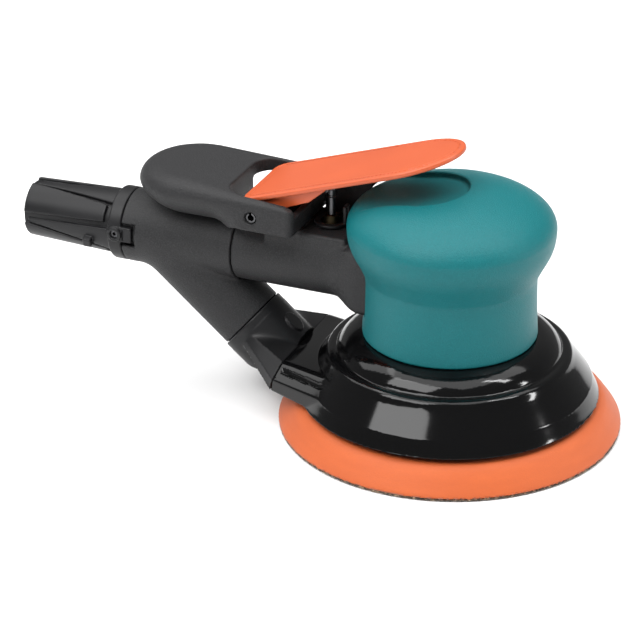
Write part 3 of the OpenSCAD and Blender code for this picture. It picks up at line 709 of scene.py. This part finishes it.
LEVER_HALF = 17.5
PLATE_TOP = 6.7
LEVER_REAR = [(0.4, LEVER_HALF), (-1.8, 16.9), (-3.4, 15.3), (-4, 13.1)]
LEVER_NOSE = [(58 + 22 * math.cos(t), LEVER_HALF * math.sin(t)) for t in np.radians(np.arange(90, -91, -6))]
LEVER_PLAN = [(u, -v) for u, v in LEVER_REAR] + LEVER_REAR[::-1] + LEVER_NOSE
EAR = [(2.8, -2.8), (8.5, -0.6), (14, 0.1), (22, 0.6), (29.5, 3.8), (30.5, 5.2), (-3.4, 5.2), (-4, 0.5)]
WEB = [(5.4, 5.4), (6.0, 1.4), (6.8, 0.9), (25.8, 0.9), (27.3, 2.2), (27.5, 5.4)]
PIN_HALF = 20.9


def lever_f(p):
    """The lever: u runs up its plate from the pivot, v across it and w away from it."""
    u, w = tilted(p[0] - PIVOT[0], p[2] - PIVOT[1], LEVER_TILT)
    v = p[1]
    plan = poly2(u, v, LEVER_PLAN)
    plate = extrude(plan, w, 4.7, PLATE_TOP, 0.7)
    fine_line = both(np.abs(plan + 2.3) - 0.28, np.abs(w - PLATE_TOP) - 0.22, 0.15)
    plate = cut(plate, fine_line, 0.1)
    from_pivot = np.hypot(u, w)
    ears = extrude(np.minimum(poly2(u, w, EAR), from_pivot - 4), np.abs(v), 12.5, 15.5, 0.4)
    web = extrude(poly2(u, w, WEB), v, -2.5, 2.5, 0.4)
    solid = union(plate, np.minimum(ears, web), 0.7)
    return cut(solid, from_pivot - 2.06)


def pin_f(p):
    """The rolled pin: a tube with a gap along its upper side."""
    dx, dz = p[0] - PIVOT[0], p[2] - PIVOT[1]
    r = np.hypot(dx, dz)
    tube = extrude(r - 2.0, p[1], -PIN_HALF, PIN_HALF, 0.35)
    tube = cut(tube, r - 1.2, 0.15)
    gap = np.maximum(np.abs(dx + 0.2 * dz) - 0.45, -dz)
    return cut(tube, gap, 0.1)


# ---- regulator, valve stem and bushing

def from_stem(p):
    """Distance from the valve stem's axis."""
    return np.hypot(p[0] - STEM_X, p[1])


def regulator_f(p):
    """The regulator's collar with its upright tab."""
    x, y, z = p
    r = from_stem(p)
    collar = extrude(r - 6.4, z, 71.8, 73.2, 0.5)
    tab = box(p, (-42, -2, 72), (-40.4, 2, 80), 0.6)
    thumb_marks = box((x, np.abs(y), z), (-40.6, 0.5, 74.5), (-40.0, 1.2, 79.2), 0.1)
    solid = cut(union(collar, tab, 0.5), thumb_marks, 0.15)
    return cut(solid, r - 4.08, 0.25)


def stem_f(p):
    """The valve stem, round at its ends, with a fine groove."""
    r = from_stem(p)
    stem = extrude(r - 1.5, p[2], 58.5, 86.5, 1.4)
    groove = extrude(np.abs(r - 1.75) - 0.5, p[2], 82.6, 83.3, 0.1)
    return cut(stem, groove, 0.1)


def bushing_f(p):
    """The bushing that guides the stem, with a tapered cap."""
    r, z = from_stem(p), p[2]
    body = extrude(r - 4, z, 64, 72.3, 0.4)
    cap = extrude(r - (3.4 - 0.3 * (z - 72)), z, 71, 75.6, 0.4)
    seal_groove = np.maximum(np.maximum(r - 3, 1 - r), np.abs(z - 68.9) - 0.9)
    body = cut(union(body, cap, 0.3), seal_groove)
    return cut(body, r - 1.56, 0.2)


# ---- pad

PAD_Y = 1.2  # the crank sets the pad's middle this far off the motor's axis
FOAM_LOW = 0.8
FOAM_TOP = 11.1
FOAM_SIDE = [(63.5, FOAM_LOW), (63.4, 1.7), (62.6, 3.1), (61.1, 5.2), (59.4, 7.5), (57.6, 9.5), (56.2, 10.5),
             (55.2, 10.9), (54.0, FOAM_TOP)]
FOAM_PROFILE = [(PAST_AXIS, FOAM_LOW)] + spline(FOAM_SIDE, 5) + [(PAST_AXIS, FOAM_TOP)]
HOLE_RING = 32.5
HOLE_R = 4.75
HOLES = [(HOLE_RING * math.cos(a), PAD_Y + HOLE_RING * math.sin(a))
         for a in np.radians(np.arange(90, 450, 72))]
HOOK_R = 63.3


def with_holes(p, solid, edge):
    """The disc with its five dust holes."""
    for hole_x, hole_y in HOLES:
        solid = cut(solid, np.hypot(p[0] - hole_x, p[1] - hole_y) - HOLE_R, edge)
    return solid


def foam_f(p):
    """The foam disc, with its recess for the backing plate."""
    x, y, z = p
    r = np.hypot(x, y - PAD_Y)
    solid = poly2(r, z, FOAM_PROFILE)
    solid = cut(solid, extrude(r - 45, z, 9, 30), 0.2)
    solid = cut(solid, extrude(r - 9.1, z, 6.4, 30), 0.2)
    return np.maximum(with_holes(p, solid, 0.5), FOAM_LOW + 0.02 - z)


def hook_f(p):
    """The hook face under the foam."""
    x, y, z = p
    angle = np.arctan2(y - PAD_Y, x)
    # a slightly ragged edge, as cut fabric has
    ragged = 0.10 * np.sin(angle * 211) * np.sin(angle * 97 + 1.0) + 0.06 * np.sin(angle * 383 + 2.0)
    solid = extrude(np.hypot(x, y - PAD_Y) - HOOK_R - ragged, z, 0.0, 0.78, 0.2)
    return with_holes(p, solid, 0.2)


# ---------------- pieces

PIECES = [
    # name, shape, low corner, high corner, grid step,
    # body, CAD node that it replaces, slot
    ("grip_cover", grip_f, (-38.5, -38.5, 37), (38.5, 38.5, 94.5), 0.8,
     "housing", "grip", "teal_rubber"),
    ("motor_case", housing_f, (-93, -31, 34), (36, 36, 92), 0.8,
     "housing", "motor_housing", "black_nylon"),
    ("dust_shroud", shroud_f, (-61, -56, 12.9), (56, 56, 37.5), 0.58,
     "housing", "shroud", "gloss_shroud"),
    ("dust_elbow", elbow_f, (-93, -31, 5), (-50, 31, 42), 0.6,
     "housing", "exhaust_elbow", "smooth_nylon"),
    ("manifold_case", manifold_f, (-127, -15, 12), (-64, 15, 72), 0.65,
     "housing", "y_body", "black_nylon"),
    ("hose_end", adapter_f, (-170, -15.5, 42), (-115, 14.5, 72), 0.5,
     "housing", "hose_adapter", "smooth_nylon"),
    ("palm_support", rest_f, (-123, -22, 66), (-53, 22, 87), 0.6,
     "housing", "palm_rest", "black_nylon"),
    ("throttle_lever", lever_f, (-76, -18, 73), (7, 18, 111), 0.5,
     "lever", "lever", "orange_lever"),
    ("roll_pin", pin_f, (-73, -21, 76), (-68, 21, 81), 0.3,
     "housing", "lever_pin", "steel"),
    ("speed_collar", regulator_f, (-54, -7, 71), (-40, 7, 81), 0.35,
     "regulator", "speed_regulator", "smooth_nylon"),
    ("stem_rod", stem_f, (-49, -2, 58), (-45, 2, 87), 0.3,
     "stem", "valve_stem", "steel"),
    ("stem_guide", bushing_f, (-51.5, -4.5, 63.5), (-42.5, 4.5, 76), 0.35,
     "housing", "valve_bushing", "brass"),
    ("foam_disc", foam_f, (-64, -63, 0.8), (64, 65, 11.4), 1.0,
     "pad", "foam_pad", "orange_foam"),
    ("hook_disc", hook_f, (-64, -63, -0.2), (64, 65, 1.0), 0.5,
     "pad", "hook_face", "hook_fabric"),
]


def build_pieces():
    """Makes every piece, ties it to its body and hides the CAD node that it replaces."""
    made = {}
    for name, f, lo, hi, step, body, node, slot in PIECES:
        ob = solid_mesh(name, f, lo, hi, step)
        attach(ob, body)
        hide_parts(node)
        made[name] = ob
    return made


# ---------------- materials

class Mat:
    """A material under construction. Each method adds one node and returns its output."""

    def __init__(self, name):
        self.mat = bpy.data.materials.new(name)
        self.mat.use_nodes = True
        self.nodes = self.mat.node_tree.nodes
        self.links = self.mat.node_tree.links
        self.bsdf = self.nodes["Principled BSDF"]
        self.coord = self.nodes.new("ShaderNodeTexCoord")

    def set(self, **values):
        """Sets inputs of the shader, with _ for the spaces in their names."""
        for key, value in values.items():
            self.bsdf.inputs[key.replace("_", " ")].default_value = value

    def scaled(self, x, y, z):
        """The object's coordinates, stretched."""
        m = self.nodes.new("ShaderNodeMapping")
        m.inputs["Scale"].default_value = (x, y, z)
        self.links.new(self.coord.outputs["Object"], m.inputs["Vector"])
        return m.outputs["Vector"]

    def noise(self, scale, detail=2.0, rough=0.5, vector=None):
        n = self.nodes.new("ShaderNodeTexNoise")
        n.inputs["Scale"].default_value = scale
        n.inputs["Detail"].default_value = detail
        n.inputs["Roughness"].default_value = rough
        self.links.new(vector or self.coord.outputs["Object"], n.inputs["Vector"])
        return n.outputs["Fac"]

    def cells(self, scale):
        n = self.nodes.new("ShaderNodeTexVoronoi")
        n.inputs["Scale"].default_value = scale
        self.links.new(self.coord.outputs["Object"], n.inputs["Vector"])
        return n.outputs["Distance"]

    def ramp(self, fac, stops):
        """A colour ramp through the stops, each a position and a colour."""
        r = self.nodes.new("ShaderNodeValToRGB")
        elements = r.color_ramp.elements
        for element, (position, colour) in zip(elements, (stops[0], stops[-1])):
            element.position = position
            element.color = colour + (1,)
        for position, colour in stops[1:-1]:
            elements.new(position).color = colour + (1,)
        self.links.new(fac, r.inputs["Fac"])
        return r.outputs["Color"]

    def span(self, fac, lo, hi):
        """Moves a value from 0 to 1 into the range lo to hi."""
        m = self.nodes.new("ShaderNodeMapRange")
        m.inputs["To Min"].default_value = lo
        m.inputs["To Max"].default_value = hi
        self.links.new(fac, m.inputs["Value"])
        return m.outputs["Result"]

    def math(self, op, a, b):
        m = self.nodes.new("ShaderNodeMath")
        m.operation = op
        for i, v in enumerate((a, b)):
            if isinstance(v, (int, float)):
                m.inputs[i].default_value = v
            else:
                self.links.new(v, m.inputs[i])
        return m.outputs["Value"]

    def bump(self, height, strength, distance):
        b = self.nodes.new("ShaderNodeBump")
        b.inputs["Strength"].default_value = strength
        b.inputs["Distance"].default_value = distance
        self.links.new(height, b.inputs["Height"])
        return b.outputs["Normal"]

    def link(self, out, name):
        self.links.new(out, self.bsdf.inputs[name])


def teal_rubber():
    m = Mat("teal_rubber")
    grain = m.math("ADD", m.math("MULTIPLY", m.cells(2200), 0.5), m.noise(2600, 2, 0.6))
    wide = m.noise(40, 2)
    teals = [(0.45, (0.0010, 0.106, 0.117)), (0.75, (0.0014, 0.122, 0.134)), (1.0, (0.003, 0.138, 0.152))]
    m.link(m.ramp(grain, teals), "Base Color")
    m.link(m.span(wide, 0.40, 0.48), "Roughness")
    m.link(m.bump(grain, 0.60, 0.00022), "Normal")
    m.set(Specular_IOR_Level=0.26)
    return m.mat


def black_nylon():
    m = Mat("black_nylon")
    grain = m.noise(2300, 3, 0.65)
    height = m.math("ADD", grain, m.math("MULTIPLY", m.cells(1300), 0.5))
    blacks = [(0.3, (0.0110, 0.0110, 0.0117)), (0.55, (0.0190, 0.0190, 0.0200)), (0.8, (0.040, 0.040, 0.042))]
    m.link(m.ramp(grain, blacks), "Base Color")
    m.link(m.span(m.noise(30, 2), 0.48, 0.58), "Roughness")
    m.link(m.bump(height, 0.60, 0.00022), "Normal")
    m.set(Specular_IOR_Level=0.28)
    return m.mat


def smooth_nylon():
    m = Mat("smooth_nylon")
    wide = m.noise(60, 3)
    m.link(m.ramp(wide, [(0.3, (0.0075, 0.0075, 0.0082)), (0.7, (0.0105, 0.0105, 0.0114))]), "Base Color")
    m.link(m.span(wide, 0.36, 0.46), "Roughness")
    m.link(m.bump(m.noise(1500, 2, 0.5), 0.12, 0.0001), "Normal")
    m.set(Specular_IOR_Level=0.26)
    return m.mat


def gloss_black():
    m = Mat("gloss_black")
    wave = m.noise(28, 2, 0.4)
    dust = m.noise(2600, 2, 0.7)
    m.link(m.ramp(dust, [(0.6, (0.0018, 0.0018, 0.0020)), (0.85, (0.004, 0.004, 0.0044))]), "Base Color")
    m.link(m.span(wave, 0.06, 0.12), "Roughness")
    m.link(m.bump(wave, 0.05, 0.0006), "Normal")
    m.set(Specular_IOR_Level=0.32)
    return m.mat


def orange_paint():
    m = Mat("orange_paint")
    grain = m.noise(1500, 2, 0.5)
    wide = m.noise(50, 3)
    m.link(m.ramp(wide, [(0.3, (0.48, 0.080, 0.022)), (0.7, (0.51, 0.089, 0.025))]), "Base Color")
    m.link(m.span(wide, 0.36, 0.46), "Roughness")
    m.link(m.bump(grain, 0.10, 0.0001), "Normal")
    return m.mat


def orange_foam():
    m = Mat("orange_foam")
    pores = m.cells(1700)
    grain = m.noise(1200, 4, 0.7)
    streak = m.noise(60, 3, 0.5, m.scaled(1, 1, 6))
    height = m.math("ADD", m.math("MULTIPLY", pores, 0.8), grain)
    mixed = m.math("ADD", m.math("MULTIPLY", streak, 0.6), m.math("MULTIPLY", grain, 0.4))
    oranges = [(0.3, (0.46, 0.080, 0.010)), (0.55, (0.50, 0.090, 0.012)), (0.75, (0.54, 0.102, 0.016))]
    m.link(m.ramp(mixed, oranges), "Base Color")
    m.link(m.span(grain, 0.55, 0.75), "Roughness")
    m.link(m.bump(height, 0.35, 0.00015), "Normal")
    m.set(Sheen_Weight=0.15, Sheen_Roughness=0.5)
    return m.mat


def hook_fabric():
    m = Mat("hook_fabric")
    loops = m.cells(1300)
    grain = m.noise(900, 3, 0.7)
    browns = [(0.40, (0.02, 0.014, 0.010)), (0.52, (0.10, 0.06, 0.035)), (0.66, (0.42, 0.30, 0.18))]
    m.link(m.ramp(grain, browns), "Base Color")
    m.link(m.span(grain, 0.8, 0.95), "Roughness")
    m.link(m.bump(loops, 0.8, 0.0004), "Normal")
    m.set(Sheen_Weight=0.3)
    return m.mat


def metal(name, dark, light, rough, brush=(1, 1, 1)):
    """Metal between two colours, with fine lines stretched by brush."""
    m = Mat(name)
    lines = m.noise(700, 3, 0.6, m.scaled(*brush))
    wide = m.noise(90, 3)
    mixed = m.math("ADD", m.math("MULTIPLY", lines, 0.6), m.math("MULTIPLY", wide, 0.4))
    m.link(m.ramp(mixed, [(0.3, dark), (0.7, light)]), "Base Color")
    m.link(m.span(lines, rough * 0.8, rough * 1.25), "Roughness")
    m.link(m.bump(lines, 0.12, 0.00005), "Normal")
    m.set(Metallic=1.0)
    return m.mat


def grained(name, dark, light, rough, scale):
    """A dull grained stuff between two colours."""
    m = Mat(name)
    grain = m.noise(scale, 3, 0.65)
    m.link(m.ramp(grain, [(0.3, dark), (0.7, light)]), "Base Color")
    m.link(m.span(grain, rough - 0.06, rough + 0.06), "Roughness")
    m.link(m.bump(grain, 0.3, 0.0002), "Normal")
    return m.mat


def materials():
    return {
        "teal_rubber": teal_rubber(),
        "black_nylon": black_nylon(),
        "smooth_nylon": smooth_nylon(),
        "gloss_shroud": gloss_black(),
        "orange_lever": orange_paint(),
        "orange_foam": orange_foam(),
        "hook_fabric": hook_fabric(),
        "pad_board": grained("pad_board", (0.03, 0.03, 0.03), (0.06, 0.06, 0.06), 0.5, 800),
        # steel: near-black colour, painted shade standing in for the shade under the lever on the valve stem
        # and the roll pin
        "steel": metal("steel", (0.07, 0.07, 0.073), (0.13, 0.13, 0.135), 0.36, (1, 1, 5)),
        "bearing_steel": metal("bearing_steel", (0.58, 0.59, 0.61), (0.72, 0.73, 0.75), 0.16),
        "dark_steel": metal("dark_steel", (0.06, 0.06, 0.065), (0.12, 0.12, 0.125), 0.42),
        "plated_alloy": metal("plated_alloy", (0.56, 0.57, 0.59), (0.70, 0.71, 0.73), 0.34, (1, 1, 4)),
        # brass: near-black colour, painted shade standing in for the shade under the lever on the stem's
        # bushing
        "brass": metal("brass", (0.05, 0.038, 0.022), (0.08, 0.060, 0.033), 0.42, (1, 1, 4)),
        "seal_rubber": grained("seal_rubber", (0.012, 0.012, 0.012), (0.022, 0.022, 0.022), 0.5, 900),
        "felt": grained("felt", (0.42, 0.38, 0.31), (0.60, 0.56, 0.48), 0.95, 1500),
        "vane_resin": grained("vane_resin", (0.20, 0.09, 0.035), (0.34, 0.17, 0.08), 0.55, 1100),
    }


def dress(made):
    """Gives every piece, and every CAD node that stays, the material of its slot."""
    mats = materials()
    slots = {s["node"]: s["material_slot"] for s in frame["record"]["subparts"]}
    for name, *_, slot in PIECES:
        mesh = made[name].data
        mesh.materials.clear()
        mesh.materials.append(mats[slot])
    for node, ob in frame["nodes"].items():
        for material_slot in ob.material_slots:
            material_slot.material = mats[slots[node]]


# ---------------- floor, light and camera

PAPER = (0.86, 0.86, 0.86)
FLOOR_HALF = 6.0
FLOOR_DROP = 0.0003
AIM = (-0.03, 0, 0.05)
# name: place, size in metres and power in watts
LIGHTS = {
    "key": ((-0.37, -0.78, 1.0), (0.9, 0.7), 14),
    "top": ((0.0, 0.2, 1.9), (2.4, 2.4), 47),
    "left": ((-1.05, 0.17, 1.12), (0.85, 0.85), 5.5),
    "side_high": ((0.63, 0.08, 1.02), (0.12, 0.5), 4),
    "side_low": ((1.14, 0.20, 0.42), (0.10, 0.35), 3),
}
AZIMUTH = math.radians(23.0)
ELEVATION = math.radians(26.3)
VIEW_TARGET = (-0.0438, -0.0186, 0.0411)
VIEW_DISTANCE = 1.171
LENS = 180
SENSOR = 36
CLIP_END = 50
WORLD_LIGHT = 0.25


def floor_paper():
    m = Mat("floor_paper")
    m.link(m.ramp(m.noise(3, 2), [(0.3, tuple(c * 0.985 for c in PAPER)), (0.7, PAPER)]), "Base Color")
    m.set(Roughness=0.9)
    return m.mat


def floor():
    """A large sheet of white paper under the sander."""
    me = bpy.data.meshes.new("floor")
    corners = [(-FLOOR_HALF, -FLOOR_HALF, 0), (FLOOR_HALF, -FLOOR_HALF, 0),
               (FLOOR_HALF, FLOOR_HALF, 0), (-FLOOR_HALF, FLOOR_HALF, 0)]
    me.from_pydata(corners, [], [(0, 1, 2, 3)])
    me.materials.append(floor_paper())
    ob = bpy.data.objects.new("floor", me)
    ob.location = (0, 0, -FLOOR_DROP)
    bpy.context.scene.collection.objects.link(ob)


def world():
    surroundings = bpy.data.worlds.new("studio")
    bpy.context.scene.world = surroundings
    surroundings.use_nodes = True
    background = surroundings.node_tree.nodes["Background"]
    background.inputs["Color"].default_value = (1, 1, 1, 1)
    background.inputs["Strength"].default_value = WORLD_LIGHT


def area_light(name, place, size, power):
    """A rectangular light that faces the sander."""
    data = bpy.data.lights.new(name, "AREA")
    data.shape = "RECTANGLE"
    data.size, data.size_y = size
    data.energy = power
    ob = bpy.data.objects.new(name, data)
    ob.location = place
    ob.rotation_euler = (Vector(AIM) - Vector(place)).to_track_quat("-Z", "Y").to_euler()
    bpy.context.scene.collection.objects.link(ob)


def studio():
    floor()
    world()
    for name, (place, size, power) in LIGHTS.items():
        area_light(name, place, size, power)


def camera():
    """The camera that looks at the sander as the photograph does."""
    back = Vector((math.sin(AZIMUTH) * math.cos(ELEVATION), -math.cos(AZIMUTH) * math.cos(ELEVATION),
                   math.sin(ELEVATION)))
    data = bpy.data.cameras.new("camera")
    data.lens = LENS
    data.sensor_width = SENSOR
    data.clip_end = CLIP_END
    ob = bpy.data.objects.new("camera", data)
    ob.location = Vector(VIEW_TARGET) + back * VIEW_DISTANCE
    ob.rotation_euler = back.to_track_quat("Z", "Y").to_euler()
    bpy.context.scene.collection.objects.link(ob)
    bpy.context.scene.camera = ob


camera()
studio()
dress(build_pieces())
bpy.context.scene.view_settings.view_transform = "Standard"
